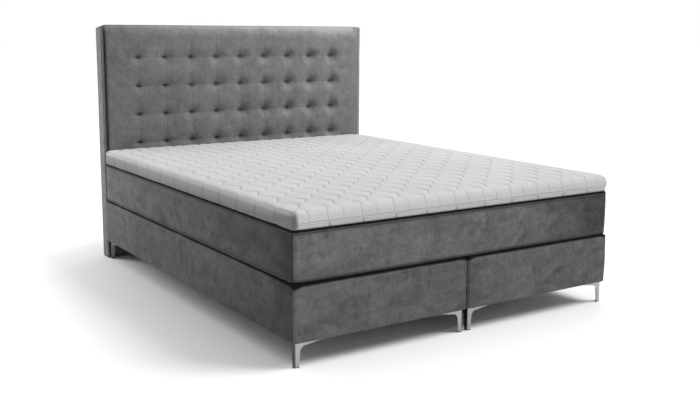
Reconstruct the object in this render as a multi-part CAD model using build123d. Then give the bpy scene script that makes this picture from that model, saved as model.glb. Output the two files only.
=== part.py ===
"""Upholstered boxspring bed for two: a tufted headboard that stands on the floor, two spring
boxes side by side on bent-sheet legs, one mattress across both boxes and a quilted topper.

X runs across the bed, Y from the foot end to the headboard, Z up. The origin is on the floor
under the middle of the whole bed. All sizes are millimetres.
"""

from build123d import *
import os

# Driving sizes of the whole bed
bed_width = 1640.0
box_length = 2000.0
leg_height = 95.0
box_height = 221.0
mattress_height = 197.0
topper_height = 72.0
headboard_depth = 78.0
pad_top_height = 1240.0
cheek_drop = 8.0

# Cloth, clearances and cuts
velvet = 2.5
lining = 2.5
fit_gap = 0.3
rest_gap = 0.3
overrun = 5.0

# How much narrower each piece is than the one it lies on or stands behind
mattress_narrower = 10.0
topper_narrower = 4.0
headboard_narrower = 4.0

mattress_width = bed_width - mattress_narrower
topper_width = mattress_width - topper_narrower
headboard_width = bed_width - headboard_narrower

# Places along the bed and up it, worked out from the sizes above
foot_y = -(box_length + headboard_depth) / 2
head_y = foot_y + box_length
back_y = head_y + headboard_depth
box_top = leg_height + box_height
mattress_bottom = box_top + rest_gap
mattress_top = mattress_bottom + mattress_height
topper_bottom = mattress_top + rest_gap
topper_top = topper_bottom + topper_height
cheek_height = pad_top_height - cheek_drop

os.makedirs("parts", exist_ok=True)


def write(name, *shapes):
    """Write one sub-part, a solid or a group of separate solids."""
    shape = shapes[0] if len(shapes) == 1 else Compound(children=list(shapes))
    export_step(shape, f"parts/{name}.step")


def block(x0, x1, y0, y1, z0, z1):
    """Plain block between two corners."""
    middle = Pos((x0 + x1) / 2, (y0 + y1) / 2, (z0 + z1) / 2)
    return middle * Box(x1 - x0, y1 - y0, z1 - z0)


def cushion(limits, corner, top_edge, bottom_edge, inset=0.0):
    """Block with rounded upright corners and rounded top and bottom edges.

    An inset draws every face in by the same amount and takes it off every radius.
    """
    x0, x1, y0, y1, z0, z1 = limits
    width, length = x1 - x0 - 2 * inset, y1 - y0 - 2 * inset
    if corner > inset:
        outline = RectangleRounded(width, length, corner - inset)
    else:
        outline = Rectangle(width, length)
    solid = Pos((x0 + x1) / 2, (y0 + y1) / 2, z0 + inset) * extrude(outline, z1 - z0 - 2 * inset)
    if top_edge > inset:
        solid = fillet(solid.edges().group_by(Axis.Z)[-1], top_edge - inset)
    if bottom_edge > inset:
        solid = fillet(solid.edges().group_by(Axis.Z)[0], bottom_edge - inset)
    return solid


def slab(solid, z0, z1):
    """The part of a solid between two heights."""
    return solid & block(-bed_width, bed_width, -box_length, box_length, z0, z1)


def rod(radius, start, length, axis):
    """Round rod from a start point along +X, +Y or +Z."""
    turns = {"x": Rot(0, 90, 0), "y": Rot(-90, 0, 0), "z": Rot(0, 0, 0)}
    upright = Cylinder(radius, length, align=(Align.CENTER, Align.CENTER, Align.MIN))
    return Pos(*start) * turns[axis] * upright


# Headboard layout: two cheeks at the sides, a timber frame with a front board between them,
# and on the board the tufted pad above and a plain upholstered panel below
headboard_glide = 4.0
headboard_glide_share = 0.25
cheek_board = 12.0
cheek_round = 6.0
cheek_top_round_share = 0.5
rail_depth = 22.0
rail_width = 70.0
stud_pitch_share = 1.5
front_board = 10.0
pad_side_gap = 1.5
pad_bottom = box_top

frame_back = back_y - lining
board_back = frame_back - rail_depth
board_front = board_back - front_board
cheek_inner = headboard_width / 2 - velvet - fit_gap - cheek_board
pad_half = cheek_inner - fit_gap - velvet - pad_side_gap
frame_top = cheek_height - velvet - fit_gap

# Tufts: a square grid that is centred across and hangs from the top of the pad
tuft_pitch = 153.0
tuft_columns = 9
tuft_rows = 4
tuft_top_margin = 165.0
tuft_depth = 22.0
tuft_inner = 5.0
tuft_outer = 50.0
tuft_edge_rise = 1.0
tuft_well = 1.0
tie_radius = 1.2
tie_hole = 1.5
tuft_washer_radius = 12.0
tuft_washer = 3.0
seam_width = 7.0
seam_depth = 1.6
pad_front_round = 11.0
pad_top_round = 18.0

tuft_xs = [(i - (tuft_columns - 1) / 2) * tuft_pitch for i in range(tuft_columns)]
tuft_zs = [pad_top_height - tuft_top_margin - i * tuft_pitch for i in range(tuft_rows)]

# Bolts that hold the headboard to the head ends of the boxes, two to a box
bolt_radius = 4.0
bolt_hole = 4.3
bolt_head_radius = 8.0
bolt_head = 5.3
bolt_recess_radius = 10.0
bolt_recess = 8.0
bolt_spread = 480.0
nut_barrel_radius = 5.5
nut_barrel = 12.0
nut_flange_radius = 11.0
nut_flange = 1.5

# Boxes: two alike, mirrored across the middle of the bed
split_gap = 2.0
box_corner = 14.0
box_edge = 9.0
box_rail = 20.0
box_felt = 5.0
box_foam = 25.0
cover_return = 60.0
base_cloth = 1.5
slat_count = 8
slat_width = 70.0
slat_depth = 18.0
corner_plate = 76.0
spring_gap = 4.0

box_width = (bed_width - split_gap) / 2
box_middle = (split_gap + box_width) / 2
box_inner_bottom = leg_height + velvet + fit_gap
box_foam_bottom = box_top - velvet - fit_gap - box_foam
box_rail_top = box_foam_bottom - box_felt
box_inset = velvet + fit_gap
bolt_z = leg_height + box_height / 2
bolt_xs = [s * box_middle + t * bolt_spread / 2 for s in (-1, 1) for t in (-1, 1)]


def headboard_cheek(side):
    """Plywood side board of the headboard, standing on its glides."""
    x_out = side * (headboard_width / 2 - velvet - fit_gap)
    x_in = side * cheek_inner
    board = block(min(x_out, x_in), max(x_out, x_in), head_y + velvet + fit_gap,
                  back_y - velvet - fit_gap, headboard_glide, cheek_height - velvet - fit_gap)
    upright = board.edges().filter_by(Axis.Z)
    return fillet(upright.sort_by(lambda e: side * e.center().X)[2:], cheek_round - velvet)


def cheek_cover(side):
    """Velvet sleeve over a cheek, open at the floor and where the frame meets the cheek."""
    x_out = side * headboard_width / 2
    x_in = side * (cheek_inner - fit_gap - velvet)
    x0, x1 = min(x_out, x_in), max(x_out, x_in)
    outer = block(x0, x1, head_y, back_y, headboard_glide, cheek_height)
    outer = fillet(outer.edges().filter_by(Axis.Z), cheek_round)
    outer = fillet(outer.edges().group_by(Axis.Z)[-1], cheek_round * cheek_top_round_share)
    inner = block(x0 + velvet, x1 - velvet, head_y + velvet, back_y - velvet,
                  headboard_glide - overrun, cheek_height - velvet)
    upright = inner.edges().filter_by(Axis.Z)
    inner = fillet(upright.sort_by(lambda e: side * e.center().X)[2:], cheek_round - velvet)
    wall_x, past_x = side * cheek_inner, x_in - side * overrun
    frame_side = block(min(wall_x, past_x), max(wall_x, past_x), board_front, back_y + overrun,
                       headboard_glide - overrun, cheek_height + overrun)
    return outer - inner - frame_side


def bolt_bores(radius, y0, y1):
    """The four bolt holes between two places along the bed."""
    return [rod(radius, (x, y0, bolt_z), y1 - y0, "y") for x in bolt_xs]


def frame_rail_levels():
    """Bottom and top of each cross rail: floor, bolt, middle and top rail."""
    bottom = headboard_glide + velvet + fit_gap
    middle = (tuft_zs[-1] + tuft_zs[-2]) / 2
    half = rail_width / 2
    return [(bottom, bottom + rail_width), (bolt_z - half, bolt_z + half),
            (middle - half, middle + half), (frame_top - rail_width, frame_top)]


def headboard_frame():
    """Cross rails between the cheeks, and the studs between the rails."""
    levels = frame_rail_levels()
    rails = [block(-cheek_inner, cheek_inner, board_back, frame_back, z0, z1) for z0, z1 in levels]
    for bore in (bolt_bores(bolt_hole, board_back - overrun, frame_back + overrun)
                 + bolt_bores(bolt_recess_radius, frame_back - bolt_recess, frame_back + overrun)):
        rails[1] -= bore
    stud_x = tuft_pitch * stud_pitch_share
    studs = []
    for (_, low), (high, _) in zip(levels, levels[1:]):
        for x in (-stud_x, stud_x):
            studs.append(block(x - rail_depth, x + rail_depth, board_back, frame_back, low, high))
    return rails, studs


def headboard_board():
    """Plywood sheet over the front of the frame, drilled for the ties and the bolts."""
    board = block(-cheek_inner, cheek_inner, board_front, board_back,
                  headboard_glide + velvet + fit_gap, frame_top)
    holes = [rod(tie_hole, (x, board_front - overrun, z), front_board + 2 * overrun, "y")
             for x in tuft_xs for z in tuft_zs]
    return board - holes - bolt_bores(bolt_hole, board_front - overrun, board_back + overrun)


def back_lining():
    """Thin lining over the back of the frame, with a hole to reach each bolt."""
    panel = block(-cheek_inner, cheek_inner, frame_back, back_y,
                  headboard_glide + velvet + fit_gap, frame_top)
    return panel - bolt_bores(bolt_recess_radius, frame_back - overrun, back_y + overrun)


def pad_envelope(inset=0.0):
    """Outside of the tufted pad with its lip over the top of the frame, without tufts."""
    solid = block(-pad_half + inset, pad_half - inset, head_y + inset, back_y - inset,
                  pad_bottom + inset, pad_top_height - inset)
    upright = solid.edges().filter_by(Axis.Z).group_by(Axis.Y)[0]
    solid = fillet(upright, pad_front_round - inset)
    top = solid.edges().group_by(Axis.Z)[-1].filter_by(Axis.X).group_by(Axis.Y)[0]
    return fillet(top, pad_top_round - inset)


def tuft_cut(x, z, inset=0.0):
    """Funnel that a tuft pulls into the pad. An inset makes the cut in a layer further in."""
    reach = tuft_outer - tuft_inner
    fall = tuft_depth - tuft_well + tuft_edge_rise
    bulge = (reach ** 2 + fall ** 2) / (2 * fall)
    radius = bulge - inset
    inner = tuft_inner + inset

    def height(r):
        return tuft_edge_rise - bulge + (radius ** 2 - (tuft_outer - r) ** 2) ** 0.5

    middle = (inner + tuft_outer) / 2
    floor = -tuft_depth - inset
    with BuildSketch(Plane.XZ) as profile:
        with BuildLine():
            Polyline((tuft_outer, height(tuft_outer)), (tuft_outer, overrun), (0, overrun),
                     (0, floor), (inner, floor), (inner, height(inner)))
            ThreePointArc((inner, height(inner)), (middle, height(middle)),
                          (tuft_outer, height(tuft_outer)))
        make_face()
    funnel = revolve(profile.sketch, Axis.Z)
    return Pos(x, head_y, z) * Rot(90, 0, 0) * funnel


def frame_zone():
    """Room behind the front board and under the pad's lip, which the frame fills."""
    return block(-pad_half - overrun, pad_half + overrun, board_front, back_y + overrun,
                 pad_bottom - overrun, frame_top)


def seam_cuts():
    """Shallow grooves of the sewn seams through the columns and rows of tufts."""
    half = seam_width / 2
    groove = Polygon((-half, 0), (half, 0), (0, seam_depth), align=None)
    rear = Plane(origin=(0, head_y, 0), x_dir=(1, 0, 0), z_dir=(0, 0, 1))
    upright = extrude(rear * groove, pad_top_height - pad_bottom + 2 * overrun)
    cuts = [Pos(x, 0, pad_bottom - overrun) * upright for x in tuft_xs]
    across = Plane(origin=(-pad_half - overrun, head_y, 0), x_dir=(0, 0, 1), z_dir=(1, 0, 0))
    level = Polygon((-half, 0), (half, 0), (0, -seam_depth), align=None)
    length = 2 * (pad_half + overrun)
    cuts += [Pos(0, 0, z) * extrude(across * level, length) for z in tuft_zs]
    return cuts


def tufted_pad():
    """Velvet cover of the pad and the foam in it, both drawn in at every tuft."""
    tufts = [tuft_cut(x, z) for x in tuft_xs for z in tuft_zs]
    under = [tuft_cut(x, z, velvet) for x in tuft_xs for z in tuft_zs]
    deep = [tuft_cut(x, z, velvet + fit_gap) for x in tuft_xs for z in tuft_zs]
    cover = pad_envelope() - tufts - (pad_envelope(velvet) - under) - frame_zone() - seam_cuts()
    foam = pad_envelope(velvet + fit_gap) - deep - frame_zone()
    holes = [rod(tie_hole, (x, head_y, z), headboard_depth, "y") for x in tuft_xs for z in tuft_zs]
    return cover, foam - holes


def tuft_ties():
    """Twine of each tuft, from the velvet through the foam and the board to its washer."""
    start = head_y + tuft_depth + velvet
    return [rod(tie_radius, (x, start, z), board_back - start, "y")
            for x in tuft_xs for z in tuft_zs]


def tuft_washers():
    """Plastic washer of each tuft behind the board."""
    return [rod(tuft_washer_radius, (x, board_back, z), tuft_washer, "y")
            for x in tuft_xs for z in tuft_zs]


# Lower front panel of the headboard, which the boxes are bolted against
lower_panel_board = 16.0
lower_panel_edge = 6.0
lower_panel_gap = 1.0
lower_bottom = headboard_glide + velvet + fit_gap
lower_back = head_y + velvet + fit_gap + lower_panel_board


def lower_panel():
    """Velvet tray, its board, and the two battens that stand it off the front board."""
    top = pad_bottom - lower_panel_gap
    outer = block(-pad_half, pad_half, head_y, lower_back, lower_bottom, top)
    outer = fillet(outer.edges().group_by(Axis.Y)[0], lower_panel_edge)
    inner = block(-pad_half + velvet, pad_half - velvet, head_y + velvet, lower_back + overrun,
                  lower_bottom + velvet, top - velvet)
    inner = fillet(inner.edges().group_by(Axis.Y)[0], lower_panel_edge - velvet)
    cover = outer - inner - bolt_bores(bolt_hole, head_y - overrun, lower_back)
    inset = velvet + fit_gap
    board = block(-pad_half + inset, pad_half - inset, head_y + inset, lower_back,
                  lower_bottom + inset, top - inset)
    board = fillet(board.edges().group_by(Axis.Y)[0], lower_panel_edge - inset)
    board -= bolt_bores(bolt_hole, head_y - overrun, lower_back + overrun)
    battens = []
    for z0, z1 in frame_rail_levels()[:2]:
        batten = block(-pad_half + overrun, pad_half - overrun, lower_back, board_front, z0, z1)
        battens.append(batten - bolt_bores(bolt_hole, head_y, board_front + overrun))
    return cover, board, battens


def headboard_bolts():
    """Bolt from the recess in the rail to the inner face of the box's end rail."""
    seat = frame_back - bolt_recess
    tip = head_y - velvet - fit_gap - box_rail - nut_flange
    bolts = []
    for x in bolt_xs:
        shank = rod(bolt_radius, (x, tip, bolt_z), seat - tip, "y")
        head = rod(bolt_head_radius, (x, seat, bolt_z), bolt_head, "y")
        bolts.append(shank + head)
    return bolts


def headboard_nuts():
    """Tee nut of each bolt, pressed into the inner face of the box's end rail."""
    face = head_y - velvet - fit_gap - box_rail
    nuts = []
    for x in bolt_xs:
        nut = rod(nut_flange_radius, (x, face - nut_flange, bolt_z), nut_flange, "y")
        nut += rod(nut_barrel_radius, (x, face, bolt_z), nut_barrel, "y")
        nuts.append(nut - rod(bolt_hole, (x, face - overrun, bolt_z), nut_barrel + 2 * overrun, "y"))
    return nuts


def headboard_glides():
    """Two plastic glides under each cheek."""
    length = headboard_depth * headboard_glide_share
    glides = []
    for side in (-1, 1):
        middle = side * (cheek_inner + cheek_board / 2)
        for y in (head_y + length, back_y - length):
            glides.append(block(middle - cheek_board / 2, middle + cheek_board / 2,
                                y - length / 2, y + length / 2, 0, headboard_glide))
    return glides


for side, word in ((-1, "left"), (1, "right")):
    write(f"headboard_cheek_{word}", headboard_cheek(side))
    write(f"cheek_cover_{word}", cheek_cover(side))
frame_rails, frame_studs = headboard_frame()
write("headboard_rails", *frame_rails)
write("headboard_studs", *frame_studs)
write("headboard_board", headboard_board())
write("headboard_back_lining", back_lining())
pad_cover, pad_foam = tufted_pad()
write("tufted_pad_cover", pad_cover)
write("pad_foam", pad_foam)
write("tuft_ties", *tuft_ties())
write("tuft_washers", *tuft_washers())
panel_cover, panel_board, panel_battens = lower_panel()
write("lower_panel_cover", panel_cover)
write("lower_panel_board", panel_board)
write("lower_panel_battens", *panel_battens)
write("headboard_bolts", *headboard_bolts())
write("headboard_tee_nuts", *headboard_nuts())
write("headboard_glides", *headboard_glides())

# Legs: sheet bent to an angle, with an outer corner that stands straight, inner edges that
# sweep out to a thin tip along each arm, and a flange under the box
leg_inset = 13.0
leg_arm = 114.0
leg_foot = 18.0
leg_sheet = 3.0
leg_glide = 3.0
leg_glide_margin = 1.5
leg_glide_width = 6.0
leg_bend = 3.0
flange_width = 28.0
leg_neck_shares = (0.200, 0.55)
leg_bow_shares = (0.240, 0.745)
leg_knee_shares = (0.420, 0.855)
leg_screw_places = ((14.0, 14.0), (78.0, 14.0), (14.0, 78.0))
screw_radius = 2.2
screw_hole = 2.5
screw_head_radius = 4.5
screw_head = 2.4
screw_length = 14.0


def leg_plate(height):
    """Outline of one arm, extruded to the sheet's thickness, from the corner along +X."""
    neck, bow, knee = [(leg_arm * a, height * b) for a, b in
                       (leg_neck_shares, leg_bow_shares, leg_knee_shares)]
    with BuildSketch(Plane.XZ) as outline:
        with BuildLine():
            Polyline(knee, (leg_arm, height - leg_sheet), (leg_arm, height), (0, height), (0, 0),
                     (leg_foot, 0), neck)
            ThreePointArc(neck, bow, knee)
        make_face()
    return extrude(outline.sketch, -leg_sheet)


def leg():
    """One leg in its own frame: outer corner on the Z axis, arms along +X and +Y."""
    height = leg_height - leg_glide
    plate = leg_plate(height)
    other = mirror(Rot(0, 0, 90) * plate, Plane.YZ)
    flange = block(0, leg_arm, 0, flange_width, height - leg_sheet, height)
    flange += block(0, flange_width, 0, leg_arm, height - leg_sheet, height)
    solid = plate + other + flange
    corner = solid.edges().filter_by(Axis.Z).sort_by(lambda e: e.center().X + e.center().Y)[0]
    solid = fillet(corner, leg_bend)
    for x, y in leg_screw_places:
        solid -= rod(screw_hole, (x, y, height - leg_sheet - overrun), 2 * overrun, "z")
    return Pos(0, 0, leg_glide) * solid


def leg_foot_glide():
    """Plastic angle under the sheet's lower end."""
    length = leg_foot + leg_glide_margin
    along_x = block(0, length, 0, leg_glide_width, 0, leg_glide)
    return along_x + block(0, leg_glide_width, 0, length, 0, leg_glide)


def leg_screws():
    """Screws of one leg, heads under the flange."""
    seat = leg_height - leg_sheet
    screws = []
    for x, y in leg_screw_places:
        head = rod(screw_head_radius, (x, y, seat - screw_head), screw_head, "z")
        screws.append(head + rod(screw_radius, (x, y, seat), screw_length, "z"))
    return screws


def corner_places(side):
    """Outer corner and turn of each leg under one box, as x, y and the two signs of its arms."""
    near, far = side * split_gap / 2, side * bed_width / 2
    x_in, x_out = near + side * leg_inset, far - side * leg_inset
    places = []
    for end, y, along in (("foot", foot_y + leg_inset, 1), ("head", head_y - leg_inset, -1)):
        places.append((f"{end}_inner", x_in, y, side, along))
        places.append((f"{end}_outer", x_out, y, -side, along))
    return places


def placed(shape, x, y, x_sign, y_sign):
    """A piece of the leg's own frame, mirrored and moved to its corner."""
    if x_sign < 0:
        shape = mirror(shape, Plane.YZ)
    if y_sign < 0:
        shape = mirror(shape, Plane.XZ)
    return Pos(x, y, 0) * shape


def box_limits(side):
    """Outside of one box as low and high x, y and z."""
    near, far = side * split_gap / 2, side * bed_width / 2
    return (min(near, far), max(near, far), foot_y, head_y, leg_height, box_top)


def box_shape(side, inset=0.0):
    return cushion(box_limits(side), box_corner, box_edge, box_edge, inset)


def screw_bores(side, radius, z0, z1):
    """Holes of all the leg screws of one box between two heights."""
    bores = []
    for _, x, y, x_sign, y_sign in corner_places(side):
        for u, v in leg_screw_places:
            bores.append(rod(radius, (x + x_sign * u, y + y_sign * v, z0), z1 - z0, "z"))
    return bores


# Plates under the bed that hold the two boxes together
join_plate_width = 60.0
join_plate_length = 44.0
join_plate = 2.5
join_plate_count = 3
join_screw_inset = 18.0


def join_plate_ys():
    pitch = box_length / (join_plate_count + 1)
    return [foot_y + pitch * (i + 1) for i in range(join_plate_count)]


def join_plates():
    """Steel plates across the split, one screw into the inner rail of each box."""
    plates, screws = [], []
    half, x = join_plate_width / 2, join_plate_width / 2 - join_screw_inset
    low = leg_height - join_plate
    for y in join_plate_ys():
        plate = block(-half, half, y - join_plate_length / 2, y + join_plate_length / 2,
                      low, leg_height)
        for sx in (-x, x):
            plate -= rod(screw_hole, (sx, y, low - overrun), join_plate + 2 * overrun, "z")
            head = rod(screw_head_radius, (sx, y, low - screw_head), screw_head, "z")
            screws.append(head + rod(screw_radius, (sx, y, low), screw_length, "z"))
        plates.append(plate)
    return plates, screws


def join_bores(radius):
    """Holes for the joining screws through the cover and up into the inner rails."""
    x = join_plate_width / 2 - join_screw_inset
    top = leg_height - join_plate + screw_length + fit_gap
    return [rod(radius, (sx, y, leg_height - overrun), top - leg_height + overrun, "z")
            for sx in (-x, x) for y in join_plate_ys()]


def box_cover(side):
    """Velvet over the sides and top of a box, turned in under the rails all round."""
    x0, x1, y0, y1, _, _ = box_limits(side)
    opening = block(x0 + cover_return, x1 - cover_return, y0 + cover_return, y1 - cover_return,
                    leg_height - overrun, leg_height + velvet + overrun)
    cover = box_shape(side) - box_shape(side, velvet) - opening
    cover -= screw_bores(side, screw_hole, leg_height - overrun, box_inner_bottom)
    cover -= join_bores(screw_hole)
    return cover - bolt_bores(bolt_hole, head_y - velvet - overrun, head_y + overrun)


def box_rails(side):
    """Two long side rails and two end rails between them."""
    body = slab(box_shape(side, box_inset), box_inner_bottom, box_rail_top)
    x0, x1, y0, y1, _, _ = box_limits(side)
    x0, x1, y0, y1 = x0 + box_inset, x1 - box_inset, y0 + box_inset, y1 - box_inset
    z0, z1 = leg_height, box_top
    long_rails = [body & block(x0, x0 + box_rail, y0, y1, z0, z1),
                  body & block(x1 - box_rail, x1, y0, y1, z0, z1)]
    long_rails = [rail - join_bores(screw_hole) for rail in long_rails]
    foot = body & block(x0 + box_rail, x1 - box_rail, y0, y0 + box_rail, z0, z1)
    head = body & block(x0 + box_rail, x1 - box_rail, y1 - box_rail, y1, z0, z1)
    head -= bolt_bores(bolt_hole, head_y - box_rail - velvet - overrun, head_y)
    head -= bolt_bores(nut_barrel_radius + fit_gap, y1 - box_rail - overrun,
                       y1 - box_rail + nut_barrel + fit_gap)
    return long_rails + [foot, head]


def box_inside(side):
    """Low and high x and y of the room between the rails of a box."""
    x0, x1, y0, y1, _, _ = box_limits(side)
    edge = box_inset + box_rail
    return x0 + edge, x1 - edge, y0 + edge, y1 - edge


def box_corner_plates(side):
    """Square timber plate in each corner that the leg is screwed to."""
    x0, x1, y0, y1 = box_inside(side)
    top = box_inner_bottom + slat_depth
    plates = []
    for xa in (x0, x1 - corner_plate):
        for ya in (y0, y1 - corner_plate):
            plate = block(xa, xa + corner_plate, ya, ya + corner_plate, box_inner_bottom, top)
            plates.append(plate - screw_bores(side, screw_hole, leg_height, top + overrun))
    return plates


def box_slats(side):
    """Cross slats between the side rails that carry the spring unit."""
    x0, x1, y0, y1 = box_inside(side)
    first, last = y0 + corner_plate, y1 - corner_plate - slat_width
    pitch = (last - first) / (slat_count - 1)
    return [block(x0, x1, first + i * pitch, first + i * pitch + slat_width,
                  box_inner_bottom, box_inner_bottom + slat_depth) for i in range(slat_count)]


def box_springs(side):
    """Pocketed spring unit as one block between the rails."""
    x0, x1, y0, y1 = box_inside(side)
    return block(x0 + spring_gap, x1 - spring_gap, y0 + spring_gap, y1 - spring_gap,
                 box_inner_bottom + slat_depth, box_rail_top)


def box_base_cloth(side):
    """Black cloth under the slats, inside the turned-in edge of the cover."""
    x0, x1, y0, y1, _, _ = box_limits(side)
    edge = cover_return + fit_gap
    cloth = block(x0 + edge, x1 - edge, y0 + edge, y1 - edge,
                  box_inner_bottom - base_cloth, box_inner_bottom)
    return cloth - screw_bores(side, screw_head_radius, leg_height, box_inner_bottom + overrun)


one_leg, one_glide, one_set = leg(), leg_foot_glide(), leg_screws()
glides, screws = [], []
for side, word in ((-1, "left"), (1, "right")):
    write(f"box_cover_{word}", box_cover(side))
    write(f"box_rails_{word}", *box_rails(side))
    write(f"box_corner_plates_{word}", *box_corner_plates(side))
    write(f"box_slats_{word}", *box_slats(side))
    write(f"box_springs_{word}", box_springs(side))
    write(f"box_felt_{word}", slab(box_shape(side, box_inset), box_rail_top, box_foam_bottom))
    write(f"box_foam_{word}", slab(box_shape(side, box_inset), box_foam_bottom, box_top))
    write(f"box_base_cloth_{word}", box_base_cloth(side))
    for name, x, y, x_sign, y_sign in corner_places(side):
        write(f"leg_{word}_{name}", placed(one_leg, x, y, x_sign, y_sign))
        glides.append(placed(one_glide, x, y, x_sign, y_sign))
        screws += [placed(screw, x, y, x_sign, y_sign) for screw in one_set]
write("leg_glides", *glides)
write("leg_screws", *screws)
plates, plate_screws = join_plates()
write("join_plates", *plates)
write("join_screws", *plate_screws)

# Mattress: one piece over both boxes, with an edge tape round its top and bottom
mattress_foot_inset = 5.0
mattress_corner = 22.0
mattress_edge = 9.0
mattress_cover_cloth = 3.0
mattress_foam = 35.0
mattress_border = 60.0
tape_height = 5.0
tape_thick = 2.2

mattress_limits = (-mattress_width / 2, mattress_width / 2, foot_y + mattress_foot_inset,
                   head_y - rest_gap, mattress_bottom, mattress_top)
mattress_inset = mattress_cover_cloth + fit_gap


def mattress_shape(inset=0.0):
    return cushion(mattress_limits, mattress_corner, mattress_edge, mattress_edge, inset)


def mattress_layers():
    """Foam below, spring unit in a foam border, foam above."""
    body = mattress_shape(mattress_inset)
    low = mattress_bottom + mattress_inset + mattress_foam
    high = mattress_top - mattress_inset - mattress_foam
    x0, x1, y0, y1, _, _ = mattress_limits
    edge = mattress_inset + mattress_border
    springs = block(x0 + edge, x1 - edge, y0 + edge, y1 - edge, low, high)
    below = slab(body, mattress_bottom, low)
    above = slab(body, high, mattress_top)
    return below, slab(body, low, high) - springs, springs, above


def edge_tape(z0):
    """Flat tape sewn round the side of the mattress, standing off it by its thickness."""
    x0, x1, y0, y1, _, _ = mattress_limits
    head_cut = block(-bed_width, bed_width, head_y - rest_gap, back_y, z0 - overrun,
                     z0 + tape_height + overrun)

    def ring(out):
        limits = (x0 - out, x1 + out, y0 - out, y1 + out, z0, z0 + tape_height)
        return cushion(limits, mattress_corner + out, 0, 0)

    return ring(fit_gap + tape_thick) - ring(fit_gap) - head_cut


foam_below, foam_border, spring_unit, foam_above = mattress_layers()
write("mattress_cover", mattress_shape() - mattress_shape(mattress_cover_cloth))
write("mattress_foam_lower", foam_below)
write("mattress_foam_border", foam_border)
write("mattress_springs", spring_unit)
write("mattress_foam_upper", foam_above)
write("mattress_tape_lower", edge_tape(mattress_bottom + mattress_edge))
write("mattress_tape_upper", edge_tape(mattress_top - mattress_edge - tape_height))

# Topper: foam core in a quilted cover that a zip round the edge parts in two
topper_foot_inset = 7.0
topper_corner = 35.0
topper_top_edge = 26.0
topper_bottom_edge = 10.0
quilt = 8.0
zip_height = 5.0
zip_level = 20.0
zip_sink = 2.0
slider_length = 14.0
slider_thick = 1.6
channel_pitch = 75.0
channel_wave = 155.0
channel_swing = 36.0
channel_long_share = 0.64
channel_width = 7.0
channel_depth = 3.5
side_channel_width = 6.0
side_channel_depth = 2.5

topper_limits = (-topper_width / 2, topper_width / 2, foot_y + topper_foot_inset,
                 head_y - rest_gap, topper_bottom, topper_top)
zip_bottom = topper_bottom + zip_level
zip_top = zip_bottom + zip_height


def topper_shape(inset=0.0):
    return cushion(topper_limits, topper_corner, topper_top_edge, topper_bottom_edge, inset)


def channel_lines():
    """Places of the sewn channels across the bed, with the phase of each line's wave."""
    count = int((topper_width / 2 - topper_corner) / channel_pitch)
    return [(i * channel_pitch, (i % 2) / 2) for i in range(-count, count + 1)]


def sewn_channel(x, phase):
    """One channel down the topper: long limbs that drift across, short limbs that jog back."""
    points = []
    start = head_y + overrun + phase * channel_wave
    waves = int((start - foot_y) / channel_wave) + 1
    for i in range(waves):
        y = start - i * channel_wave
        points.append((x - channel_swing / 2, y))
        points.append((x + channel_swing / 2, y - channel_wave * channel_long_share))
    half = channel_width / 2
    outline = [(u - half, v) for u, v in points] + [(u + half, v) for u, v in reversed(points)]
    return Pos(0, 0, topper_top - channel_depth) * extrude(Polygon(*outline, align=None), quilt)


def side_channels():
    """Upright sewn channels on the side and foot bands, above the zip."""
    x0, x1, y0, y1, _, _ = topper_limits
    half, deep = side_channel_width / 2, side_channel_depth
    wedge = extrude(Polygon((-half, 0), (half, 0), (0, deep), align=None), topper_height)
    cuts = []
    for i in range(1, int((y1 - y0 - topper_corner) / channel_wave) + 1):
        y = y1 - i * channel_wave
        cuts.append(Pos(x0, y, zip_top) * Rot(0, 0, -90) * wedge)
        cuts.append(Pos(x1, y, zip_top) * Rot(0, 0, 90) * wedge)
    for x, _ in channel_lines():
        cuts.append(Pos(x, y0, zip_top) * wedge)
    return cuts


def topper_covers():
    """Quilted cover above and below the zip."""
    shell = topper_shape() - topper_shape(quilt)
    upper = slab(shell, zip_top, topper_top + overrun)
    upper -= [sewn_channel(x, phase) for x, phase in channel_lines()]
    upper -= side_channels()
    return upper, slab(shell, topper_bottom - overrun, zip_bottom)


def topper_zip():
    """Zip tape, set back from the cover, and its slider near the head end."""
    tape = slab(topper_shape(zip_sink) - topper_shape(quilt), zip_bottom, zip_top)
    _, x1, _, y1, _, _ = topper_limits
    y0 = y1 - topper_corner - channel_pitch
    slider = block(x1 - zip_sink, x1 - zip_sink + slider_thick, y0, y0 + slider_length,
                   zip_bottom, zip_top)
    return tape, slider


quilt_upper, quilt_lower = topper_covers()
zip_tape, zip_slider = topper_zip()
write("topper_core", topper_shape(quilt + fit_gap))
write("topper_cover_upper", quilt_upper)
write("topper_cover_lower", quilt_lower)
write("topper_zip_tape", zip_tape)
write("topper_zip_slider", zip_slider)
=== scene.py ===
"""Upholstered boxspring bed: velvet boxes, headboard and mattress, and a pale quilted topper.

The sections follow the order in which the bed is put together. Lengths are in metres, and every
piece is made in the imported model's own frame: X across, Y from the foot to the headboard, Z up.
"""

import math

import bmesh
import bpy
from mathutils import Matrix, Vector, noise


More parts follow.
